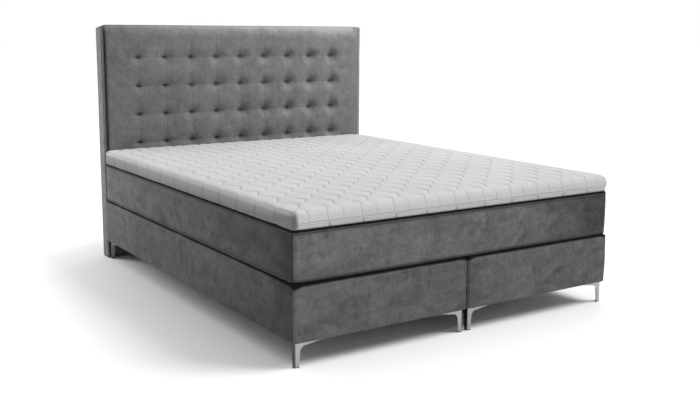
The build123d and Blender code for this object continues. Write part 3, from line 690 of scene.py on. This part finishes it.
# Back lining. Thin black cloth is stapled over the back of the frame, with a hole cut at each
# bolt. It sags a little between the rails.
low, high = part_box("headboard_back_lining")
lining_gap = 0.0004
cheek_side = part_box("cheek_cover_right")[0].x - lining_gap
bolt_low, bolt_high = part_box("headboard_bolts")
bolt_z = (bolt_low.z + bolt_high.z) / 2
box_middle, bolt_offset = 0.411, 0.240
bolt_xs = [s * (box_middle + t * bolt_offset) for s in (-1, 1) for t in (-1, 1)]
hole_radius = 0.010
cell = 0.0125
lining = crate(lines(-cheek_side, cheek_side, cell), [low.y, high.y],
               lines(low.z, high.z, cell))
near_hole = []
for f in lining.faces:
    middle = f.calc_center_median()
    if abs(f.normal.y) > 0.5 and any(math.hypot(middle.x - x, middle.z - bolt_z) < cell
                                     for x in bolt_xs):
        near_hole.append(f)
bmesh.ops.delete(lining, geom=near_hole, context="FACES")
rims = [e for e in lining.edges if e.is_boundary]
for v in {v for e in rims for v in e.verts}:
    centre = min(bolt_xs, key=lambda x: abs(v.co.x - x))
    out_x, out_z = v.co.x - centre, v.co.z - bolt_z
    reach = math.hypot(out_x, out_z)
    v.co.x, v.co.z = centre + out_x / reach * hole_radius, bolt_z + out_z / reach * hole_radius
for x in bolt_xs:
    bmesh.ops.bridge_loops(lining, edges=[e for e in rims if abs(e.verts[0].co.x - x) < 0.05])
bmesh.ops.recalc_face_normals(lining, faces=lining.faces)
for v in lining.verts:
    if v.co.y > high.y - tiny:
        edge = min(cheek_side - abs(v.co.x), v.co.z - low.z, high.z - v.co.z)
        hole = min(math.hypot(v.co.x - x, v.co.z - bolt_z) for x in bolt_xs)
        sag = fade(edge, 0.002, 0.05) * fade(hole, 0.012, 0.05)
        deep = 0.35 + 0.35 * uneven((v.co.x, 0, v.co.z), 9.0)
        v.co.y -= sag * (high.y - low.y) * deep
piece("headboard_back_lining_cloth", lining, black_cloth, "base",
      ["headboard_back_lining"])

# Mattress. Springs in a foam border lie between two foam sheets in one velvet cover, with a dark
# tape sewn round near its top and its bottom edge.
dress(foam, "mattress_foam_lower", "mattress_foam_border", "mattress_foam_upper")
dress(pockets, "mattress_springs")
low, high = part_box("mattress_cover")
tape_low, tape_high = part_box("mattress_tape_lower"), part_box("mattress_tape_upper")
cell, zone, zone_rows = 0.014, 0.024, 7
tape_grip = 0.030
mattress_swell, mattress_unevenness = 0.0012, 0.0020
mattress = crate(lines(low.x, high.x, cell, zone, zone_rows),
                 lines(low.y, high.y, cell, zone, zone_rows),
                 lines(low.z, high.z, 0.007, 0.010, 5))


def mattress_side(co):
    """How far the side of the mattress stands out at a height: full between the two tapes."""
    if co.y > high.y - 0.004:
        return 0.0
    head = fade(high.y - co.y, 0.004, 0.05)
    between = fade(co.z, tape_low[1].z, tape_low[1].z + tape_grip)
    between *= 1 - fade(co.z, tape_high[0].z - tape_grip, tape_high[0].z)
    soft = 0.5 + 0.5 * uneven((co.x, co.y, co.z * 1.8), 4.2, 5.3)
    return head * between * (mattress_swell + mattress_unevenness * soft)


def mattress_shade(co):
    """Painted shade on the left side, which faces away from the key light, more towards the foot
    end.
    """
    if co.x > low.x + side_skin:
        return 0.0
    return painted_side_shade(co, low.y, high.y, low.x) + 0.17 * (1 - fade(co.y, low.y + 1.1, high.y))


mattress_corner, mattress_foot_edge, mattress_top_edge = 0.014, 0.009, 0.005
lower_shade_band, upper_shade_band = (0.002, 0.0115), (0.005, 0.009)
painted_shade = mattress.verts.layers.float.new("painted_shade")
for v in mattress.verts:
    x, y, z = v.co
    rim = 1 - fade(min(high.x - abs(x), y - low.y, high.y - y), *rim_shade_width)
    v.co = round_off((x, y, z), low, high, mattress_corner, mattress_foot_edge,
                     mattress_top_edge)
    bottom = low.z + joint_shade_drift(v.co, low, high)
    # Painted shade in the joints at the bottom and top rims, along the left side and over the
    # right part of the foot face.
    lower_joint_shade = rim * (1 - fade(v.co.z - bottom, *lower_shade_band))
    upper_joint_shade = rim * (1 - fade(high.z - v.co.z, *upper_shade_band))
    foot_face = 1 - fade(v.co.y, low.y + 0.01, low.y + 0.03)
    foot_shade = 0.54 * fade(v.co.x, 0.20, 0.78) * foot_face
    v[painted_shade] = max(lower_joint_shade, upper_joint_shade, mattress_shade(v.co), foot_shade)
swell(mattress, lambda co, normal: mattress_side(co) if abs(normal.z) < 0.8 else 0.0)
mattress_finish = velvet("mattress velvet", nap=(1, 1, 1.6), level=0.132)
piece("mattress_velvet", mattress, mattress_finish, "mattress",
      ["mattress_cover"])

tape_cell, tape_corner, tape_edge, tape_ripple = 0.020, 0.020, 0.0015, 0.0004
tape_finish, tree, shader, space = material("edge tape", Roughness=0.8)
rib = add(tree, "TexWave", Vector=space, Scale=260.0, Distortion=1.0, bands_direction="DIAGONAL")
tint(tree, shader, rib.outputs[0], (0.026, 0.026, 0.027), (0.056, 0.056, 0.057))
raise_grain(tree, shader, rib.outputs[0], 0.0004)
for name, (tape_bottom, tape_top) in (("lower", tape_low), ("upper", tape_high)):
    tape_top = Vector((tape_top.x, high.y, tape_top.z))
    tape = crate(lines(tape_bottom.x, tape_top.x, tape_cell, zone, zone_rows),
                 lines(tape_bottom.y, tape_top.y, tape_cell, zone, zone_rows),
                 lines(tape_bottom.z, tape_top.z, 0.0012), plain={(2, False), (2, True)})
    for v in tape.verts:
        v.co = round_off(tuple(v.co), tape_bottom, tape_top, tape_corner, tape_edge, tape_edge)
        seed = 2.0 if name == "lower" else 4.0
        v.co.z += tape_ripple * uneven((v.co.x, v.co.y, 0.0), 16.0, seed)
    piece(f"mattress_tape_{name}_ribbon", tape, tape_finish, "mattress",
          [f"mattress_tape_{name}"])

# Topper. A foam core lies in a pale quilted cover. Needle lines 75 mm apart run down it in a
# sawtooth, every other one half a wave behind, and a zip round the edge parts the cover in two.
dress(foam, "topper_core")
low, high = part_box("topper_cover_upper")
top_low, top_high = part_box("topper_cover_lower")
line_pitch = 0.075
wave = 0.155
swing = 0.036
long_share = 0.64
wave_start = high.y + 0.070
line_count = 10
puff_height = 0.0058
stitch_depth = 0.0035
side_stitch_depth = 0.0050
topper_corner, topper_top_edge, topper_foot_edge = 0.013, 0.026, 0.002
left_tighter, fold_tighter = 0.009, 0.008
overhang_zone, side_zone, fold_zone = (0.003, 0.022), (0.016, 0.055), (0.060, 0.200)
scallop, scallop_width = 0.0034, 0.020
crown_height, edge_fall, fall_width = 0.0040, 0.0065, 0.085
side_puff, side_stitch_width = 0.0024, 0.0060
corner_pinch, pinch_width = 0.0022, 0.0028
edge_out, zip_out = 0.0012, 0.0046
hem_waver = 0.0016
plain_edge, side_depth = 0.018, 0.02
near_stitch = (0.0, 0.018, 0.05, 0.10, 0.19, 0.33, 0.5, 0.67, 0.81, 0.90, 0.95, 0.982)


def quilting(name):
    """Pale knitted cover: fine loops, tiny puckers beside the needle lines, and the thread."""
    made, tree, shader, space = material(name, Roughness=0.82, Specular_IOR_Level=0.25,
                                         Sheen_Weight=0.06, Sheen_Roughness=0.5)
    uv = add(tree, "SeparateXYZ", Vector=tree.nodes.new("ShaderNodeUVMap").outputs[0])
    off_line = reckon(tree, "PINGPONG", uv.outputs[0], 0.5)
    run = reckon(tree, "PINGPONG", uv.outputs[1], 0.003)
    thread = reckon(tree, "MULTIPLY", reckon(tree, "LESS_THAN", off_line, 0.016),
                    reckon(tree, "GREATER_THAN", run, 0.0011))
    needle = spread(tree, off_line, 0.0, 0.030, 1.0, 0.0)
    loops = cloudy(tree, space, 620.0, 2.0, (1, 1.6, 1))
    ribs = add(tree, "TexVoronoi", Vector=space, Scale=310.0).outputs[0]
    soil = cloudy(tree, space, 3.0, 4.0)
    shade = reckon(tree, "MULTIPLY", spread(tree, soil, 0.3, 0.7, 0.95, 1.04),
                   spread(tree, loops, 0.25, 0.75, 0.93, 1.06))
    # Painted shade darkens the cloth along each needle line.
    shade = reckon(tree, "MULTIPLY", shade, spread(tree, needle, 0.0, 1.0, 1.0, 0.50))
    shade = reckon(tree, "ADD", shade, reckon(tree, "MULTIPLY", thread, 0.2))
    # This attribute carries painted shade, which darkens the cover.
    painted_shade = add(tree, "Attribute", attribute_name="painted_shade").outputs["Fac"]
    shade = reckon(tree, "MULTIPLY", shade, spread(tree, painted_shade, 0.0, 1.0, 1.0, 0.35))
    tint(tree, shader, reckon(tree, "MULTIPLY", shade, 0.5), (0, 0, 0), (1.03, 1.03, 1.04))
    puckers = cloudy(tree, space, 120.0, 2.0, (1, 2.2, 1))
    beside = spread(tree, off_line, 0.03, 0.28, 1.0, 0.1)
    relief = reckon(tree, "ADD", reckon(tree, "MULTIPLY", loops, 0.12),
                    reckon(tree, "MULTIPLY", ribs, 0.18))
    relief = reckon(tree, "ADD", relief, reckon(tree, "MULTIPLY", thread, 0.5))
    relief = reckon(tree, "ADD", relief, reckon(tree, "MULTIPLY", puckers, beside))
    raise_grain(tree, shader, relief, 0.0016, 0.8)
    return made


def sawtooth(y, late):
    """Sideways place of a needle line at a place along the bed."""
    t = ((wave_start - y) / wave + late) % 1.0
    if t < long_share:
        return swing * (t / long_share - 0.5)
    return swing * (0.5 - (t - long_share) / (1 - long_share))


def line_shift(x, y):
    """How far the pattern is carried sideways at a place on the topper."""
    line = min(line_count, max(-line_count, x / line_pitch))
    before = math.floor(line)
    share = line - before
    shift = (1 - share) * sawtooth(y, (before % 2) / 2) + share * sawtooth(y, (before + 1) % 2 / 2)
    return shift * (1 - fade(abs(x), line_count * line_pitch, high.x - plain_edge))


quilt_finish = quilting("quilted cover")
zone = 0.030
margin = line_count * line_pitch
side_steps = [t for t in lines(margin, high.x - zone, 0.008) if t > margin + 0.001]
rim = [high.x - zone + zone * i / 8 for i in range(1, 9)]
columns = [(i + t) * line_pitch for i in range(-line_count, line_count) for t in near_stitch]
xs = sorted([-t for t in side_steps + rim] + columns + [margin] + side_steps + rim)
ys = lines(low.y, high.y, wave / 20, zone, 8)
quilt = crate(xs, ys, lines(low.z, high.z, 0.004, 0.004, 2), plain={(2, False)})
uv_layer = quilt.loops.layers.uv.new("UVMap")
quilt_painted_shade = quilt.verts.layers.float.new("painted_shade")
side_wave_top = high.y
hang = low.z - top_low.z - 0.002


def groove(distance, width):
    """A rounded dip of the given half width."""
    return math.exp(-(distance / width) ** 2)


def lean(z):
    """How far the soft edge of the topper stands out at a height, most at the zip."""
    rise = fade(z, top_low.z - 0.004, low.z - 0.006)
    return edge_out + zip_out * rise * (1 - fade(z, low.z, high.z - 0.010))


# Each point is shifted into the sawtooth, hung over the zip on the left, and rounded. Then the
# top is crowned and scalloped, and how far the point stands out from its line is kept for later.
places = {}
for v in quilt.verts:
    x, y, z = v.co
    sharp = (x, y, z)
    line = x / line_pitch
    off = abs(line - round(line)) if abs(line) <= line_count + 0.5 else 0.5
    on_top = high.z - z < tiny
    inward = min(high.x - abs(x), y - low.y, high.y - y)
    shifted = x + line_shift(x, max(y, low.y + 0.004))
    if high.x - abs(x) > plain_edge:
        x = shifted
    overhang = 1 - fade(x - low.x, *overhang_zone)
    z = high.z - (high.z - z) * (1 + overhang * hang / (high.z - low.z))
    floor_line = low - Vector((0, 0, overhang * hang))
    beside = 1 - fade(x - low.x, *side_zone)
    folded = beside * (1 - fade(sharp[1] - low.y, *fold_zone))
    v.co = round_off((x, y, z), floor_line, high, topper_corner, topper_foot_edge,
                     topper_top_edge - left_tighter * beside - fold_tighter * folded)
    count = (side_wave_top - y) / wave
    gap = abs(count - round(count)) * wave
    near_top = fade(z, high.z - topper_top_edge, high.z)
    v.co.z -= scallop * groove(gap, scallop_width) * beside * near_top
    to_edge = min(high.x - abs(v.co.x), v.co.y - low.y)
    crown = crown_height - edge_fall * max(0.0, 1 - to_edge / fall_width) ** 2
    v.co.z += crown * fade(v.co.z, high.z - 0.030, high.z - 0.004) * fade(high.y - y, 0.0, 0.05)
    on_foot = sharp[1] - low.y < tiny
    on_head = high.y - sharp[1] < tiny
    if on_top or on_foot or on_head:
        puff = (4 * off * (1 - off)) ** 0.55 if off <= 0.5 else 1.0
        amount = (puff_height * puff - stitch_depth) * (1.0 if on_top else 0.35)
        stitches = (line, sharp[1] if on_top else sharp[2])
    else:
        amount = side_puff - side_stitch_depth * groove(gap, side_stitch_width)
        nearest = round(count)
        stitches = (nearest + min(0.5, max(-0.5, 2 * (count - nearest))), sharp[2])
    if on_head:
        edge_band = 0.0
    elif on_top:
        edge_band = fade(inward, -0.012, 0.036) * 0.75 + 0.25
    else:
        edge_band = 0.7 * fade(sharp[2], low.z, low.z + 0.006)
    places[v] = (amount * edge_band, stitches, on_top)
    # Painted shade darkens the overhanging left side, more lower down, towards the foot and near
    # the head, with a band at the foot end and at the fold by the foot corner.
    shade = 0.62 + 0.38 * (1 - fade(sharp[1], low.y, high.y))
    height = 1 - fade(z, top_low.z - 0.010, high.z + 0.002)
    near_head = 0.30 * fade(sharp[1], low.y + 0.9, high.y)
    v[quilt_painted_shade] = (0.22 + near_head + shade * (0.32 + 0.62 * height)) * fade(height, 0.0, 0.25)
    v[quilt_painted_shade] += 0.26 * (1 - fade(sharp[1], low.y + 0.010, low.y + 0.050))
    v[quilt_painted_shade] += 0.22 * folded * fade(high.z - v.co.z, 0.001, 0.012)
    v[quilt_painted_shade] *= overhang

quilt.normal_update()
for v, (amount, _, on_top) in places.items():
    normal = v.normal.copy()
    if high.y - v.co.y < 0.030:
        normal.y = 0.0
    v.co += normal * amount
    outward = Vector((normal.x, normal.y, 0.0))
    v.co += outward * lean(v.co.z) * (1.0 if v.co.y < high.y - side_depth else 0.0)
    if not on_top:
        below = 1 - fade(v.co.z, top_low.z, low.z)
        v.co.z += hem_waver * below * uneven((v.co.x, v.co.y, 0.0), 9.0, 3.0)
    corner_x, corner_y = high.x - abs(v.co.x), v.co.y - low.y
    if corner_x < 0.05 and corner_y < 0.05:
        across = abs(corner_x - corner_y) / math.sqrt(2)
        reach = 1 - fade(max(corner_x, corner_y), 0.022, 0.045)
        # Painted shade in the pinched fold at each foot corner.
        v.co -= v.normal * corner_pinch * groove(across, pinch_width) * reach
        v[quilt_painted_shade] = max(v[quilt_painted_shade], 0.6 * groove(across, 0.002) * reach)
for f in quilt.faces:
    for loop in f.loops:
        if loop.vert in places:
            loop[uv_layer].uv = places[loop.vert][1]
piece("topper_cover_upper_quilt", quilt, quilt_finish, "topper",
      ["topper_cover_upper"])

# Lower half of the topper's cover. The same quilt goes under the core and comes up to the zip,
# with upright needle lines on its edge. It stands out less on the left, where the top hangs over.
low, high = top_low, top_high
foot_pitch, foot_shift = 2 * line_pitch, 0.012
left_stand_out = 0.35
cell, zone_rows = 0.0075, 6
lower_corner, lower_foot_edge, lower_top_edge = 0.020, 0.009, 0.002
lower_puff, lower_stitch_depth, lower_stitch_width = 0.0014, 0.0034, 0.005


def low_lean(co):
    """How far the cover stands out at a place below the top."""
    return lean(co.z) * (left_stand_out if co.x < low.x + side_depth else 1.0)


lower_quilt = crate(lines(low.x, high.x, cell, zone, zone_rows),
                    lines(low.y, high.y, cell, zone, zone_rows),
                    lines(low.z, high.z, 0.0035, 0.003, 2), plain={(2, True)})
uv_layer = lower_quilt.loops.layers.uv.new("UVMap")
quilt_painted_shade = lower_quilt.verts.layers.float.new("painted_shade")
places = {}
for v in lower_quilt.verts:
    sharp = tuple(v.co)
    v.co = round_off(sharp, low, high, lower_corner, lower_foot_edge, lower_top_edge)
    on_side = high.x - abs(sharp[0]) < tiny
    if on_side:
        count = (side_wave_top - sharp[1]) / wave
    else:
        count = (sharp[0] - foot_shift) / foot_pitch + 0.5
    gap = abs(count - round(count)) * foot_pitch
    amount = lower_puff - lower_stitch_depth * groove(gap, lower_stitch_width)
    places[v] = (amount, (count, sharp[2]))
    # Painted shade along the bottom rim, where the topper meets the mattress.
    rim = 1 - fade(min(high.x - abs(v.co.x), v.co.y - low.y), *rim_shade_width)
    v[quilt_painted_shade] = 0.85 * rim * (1 - fade(v.co.z, low.z + 0.001, low.z + 0.013))
lower_quilt.normal_update()
for v, (amount, _) in places.items():
    if v.normal.z > -0.7 and high.y - v.co.y > 0.01:
        outward = Vector((v.normal.x, v.normal.y, 0.0))
        v.co += outward * low_lean(v.co)
        if v.co.z > low.z + 0.002 and v.co.x > low.x + side_depth:
            v.co += v.normal * amount
for f in lower_quilt.faces:
    for loop in f.loops:
        loop[uv_layer].uv = places[loop.vert][1]
piece("topper_cover_lower_quilt", lower_quilt, quilt_finish, "topper",
      ["topper_cover_lower"])

# Zip. A woven tape with a fine coil runs round the edge between the two halves of the cover, and
# its metal slider is parked on the right near the headboard.
low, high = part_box("topper_zip_tape")
proud, overlap = 0.0004, 0.0008
low, high = low - Vector((proud, proud, overlap)), high + Vector((proud, 0, overlap))
zip_cell, zip_edge = 0.010, 0.0004
zip_tape = crate(lines(low.x, high.x, zip_cell, zone, zone_rows),
                 lines(low.y, high.y, zip_cell, zone, zone_rows),
                 lines(low.z, high.z, 0.0011), plain={(2, False), (2, True)})
for v in zip_tape.verts:
    v.co = round_off(tuple(v.co), low, high, lower_corner, zip_edge, zip_edge)
zip_tape.normal_update()
for v in zip_tape.verts:
    outward = Vector((v.normal.x, v.normal.y, 0.0))
    if v.co.y < high.y - side_depth:
        v.co += outward * low_lean(v.co)
zip_finish, tree, shader, space = material("zip tape", Roughness=0.7)
teeth = add(tree, "TexWave", Vector=space, Scale=190.0, bands_direction="DIAGONAL")
tint(tree, shader, teeth.outputs[0], (0.58, 0.58, 0.59), (0.84, 0.84, 0.85))
raise_grain(tree, shader, teeth.outputs[0], 0.0008)
piece("topper_zip_tape_coil", zip_tape, zip_finish, "topper",
      ["topper_zip_tape"])
dress(zinc, "topper_zip_slider")
hard_edge(["topper_zip_slider"], zip_edge)

# Floor, light and camera. A pale studio floor lies under soft light from above, the right and the
# front, with two small fills. The camera is past the foot end, out to the left and 1.2 m up.
floor_reach = 60.0
floor_mesh = bmesh.new()
bmesh.ops.create_grid(floor_mesh, x_segments=1, y_segments=1, size=floor_reach)
floor_data = bpy.data.meshes.new("studio_floor")
floor_mesh.to_mesh(floor_data)
floor_mesh.free()
floor = bpy.data.objects.new("studio_floor", floor_data)
bpy.context.scene.collection.objects.link(floor)
paint, tree, shader, space = material("studio floor", Roughness=0.9, Specular_IOR_Level=0.0)
shader.inputs["Base Color"].default_value = (0.90, 0.90, 0.90, 1)
floor_data.materials.append(paint)


def sun(name, towards, strength, spread_angle):
    """Even light from one side. Towards is the way its rays travel."""
    lamp = bpy.data.lights.new(name, "SUN")
    lamp.energy, lamp.angle = strength, math.radians(spread_angle)
    made = bpy.data.objects.new(name, lamp)
    made.rotation_euler = Vector(towards).to_track_quat("-Z", "Y").to_euler()
    bpy.context.scene.collection.objects.link(made)


def softbox(name, place, target, width, height, power):
    """Large soft lamp that faces a target."""
    lamp = bpy.data.lights.new(name, "AREA")
    lamp.shape, lamp.size, lamp.size_y, lamp.energy = "RECTANGLE", width, height, power
    made = bpy.data.objects.new(name, lamp)
    made.location = place
    made.rotation_euler = (Vector(target) - Vector(place)).to_track_quat("-Z", "Y").to_euler()
    bpy.context.scene.collection.objects.link(made)


sun("key", towards=(-0.600, 0.3205, -0.731), strength=2.2, spread_angle=31)
sun("overhead", towards=(0.03, -0.03, -1.0), strength=1.50, spread_angle=90)
softbox("rear left fill", place=(-1.75, 2.1, 0.8), target=(-0.8, 0.8, 0.6), width=0.6,
        height=0.6, power=16)
softbox("headboard fill", place=(1.9, 0.0, 1.9), target=(0.5, 0.96, 0.95), width=0.9,
        height=0.9, power=14)

world = bpy.data.worlds.new("studio")
world.use_nodes = True
bpy.context.scene.world = world
tree = world.node_tree
background = tree.nodes["Background"]
seen = add(tree, "LightPath")
tree.links.new(spread(tree, seen.outputs["Is Camera Ray"], 0.0, 1.0, 0.24, 1.0),
               background.inputs["Strength"])
background.inputs["Color"].default_value = (1, 1, 1, 1)

camera_data = bpy.data.cameras.new("camera")
camera_data.lens = 47.65
camera_data.sensor_width = 36.0
camera_data.shift_x = 0.0119
camera_data.shift_y = -0.0266
camera = bpy.data.objects.new("camera", camera_data)
camera.location = (-2.434, -3.825, 1.216)
turned_right, tilted_down, tipped = 33.13, 9.17, 0.29
camera.rotation_euler = (
    Matrix.Rotation(math.radians(-turned_right), 3, "Z")
    @ Matrix.Rotation(math.radians(90 - tilted_down), 3, "X")
    @ Matrix.Rotation(math.radians(tipped), 3, "Z")
).to_euler()
bpy.context.scene.collection.objects.link(camera)
bpy.context.scene.camera = camera
bpy.context.scene.view_settings.view_transform = "Standard"
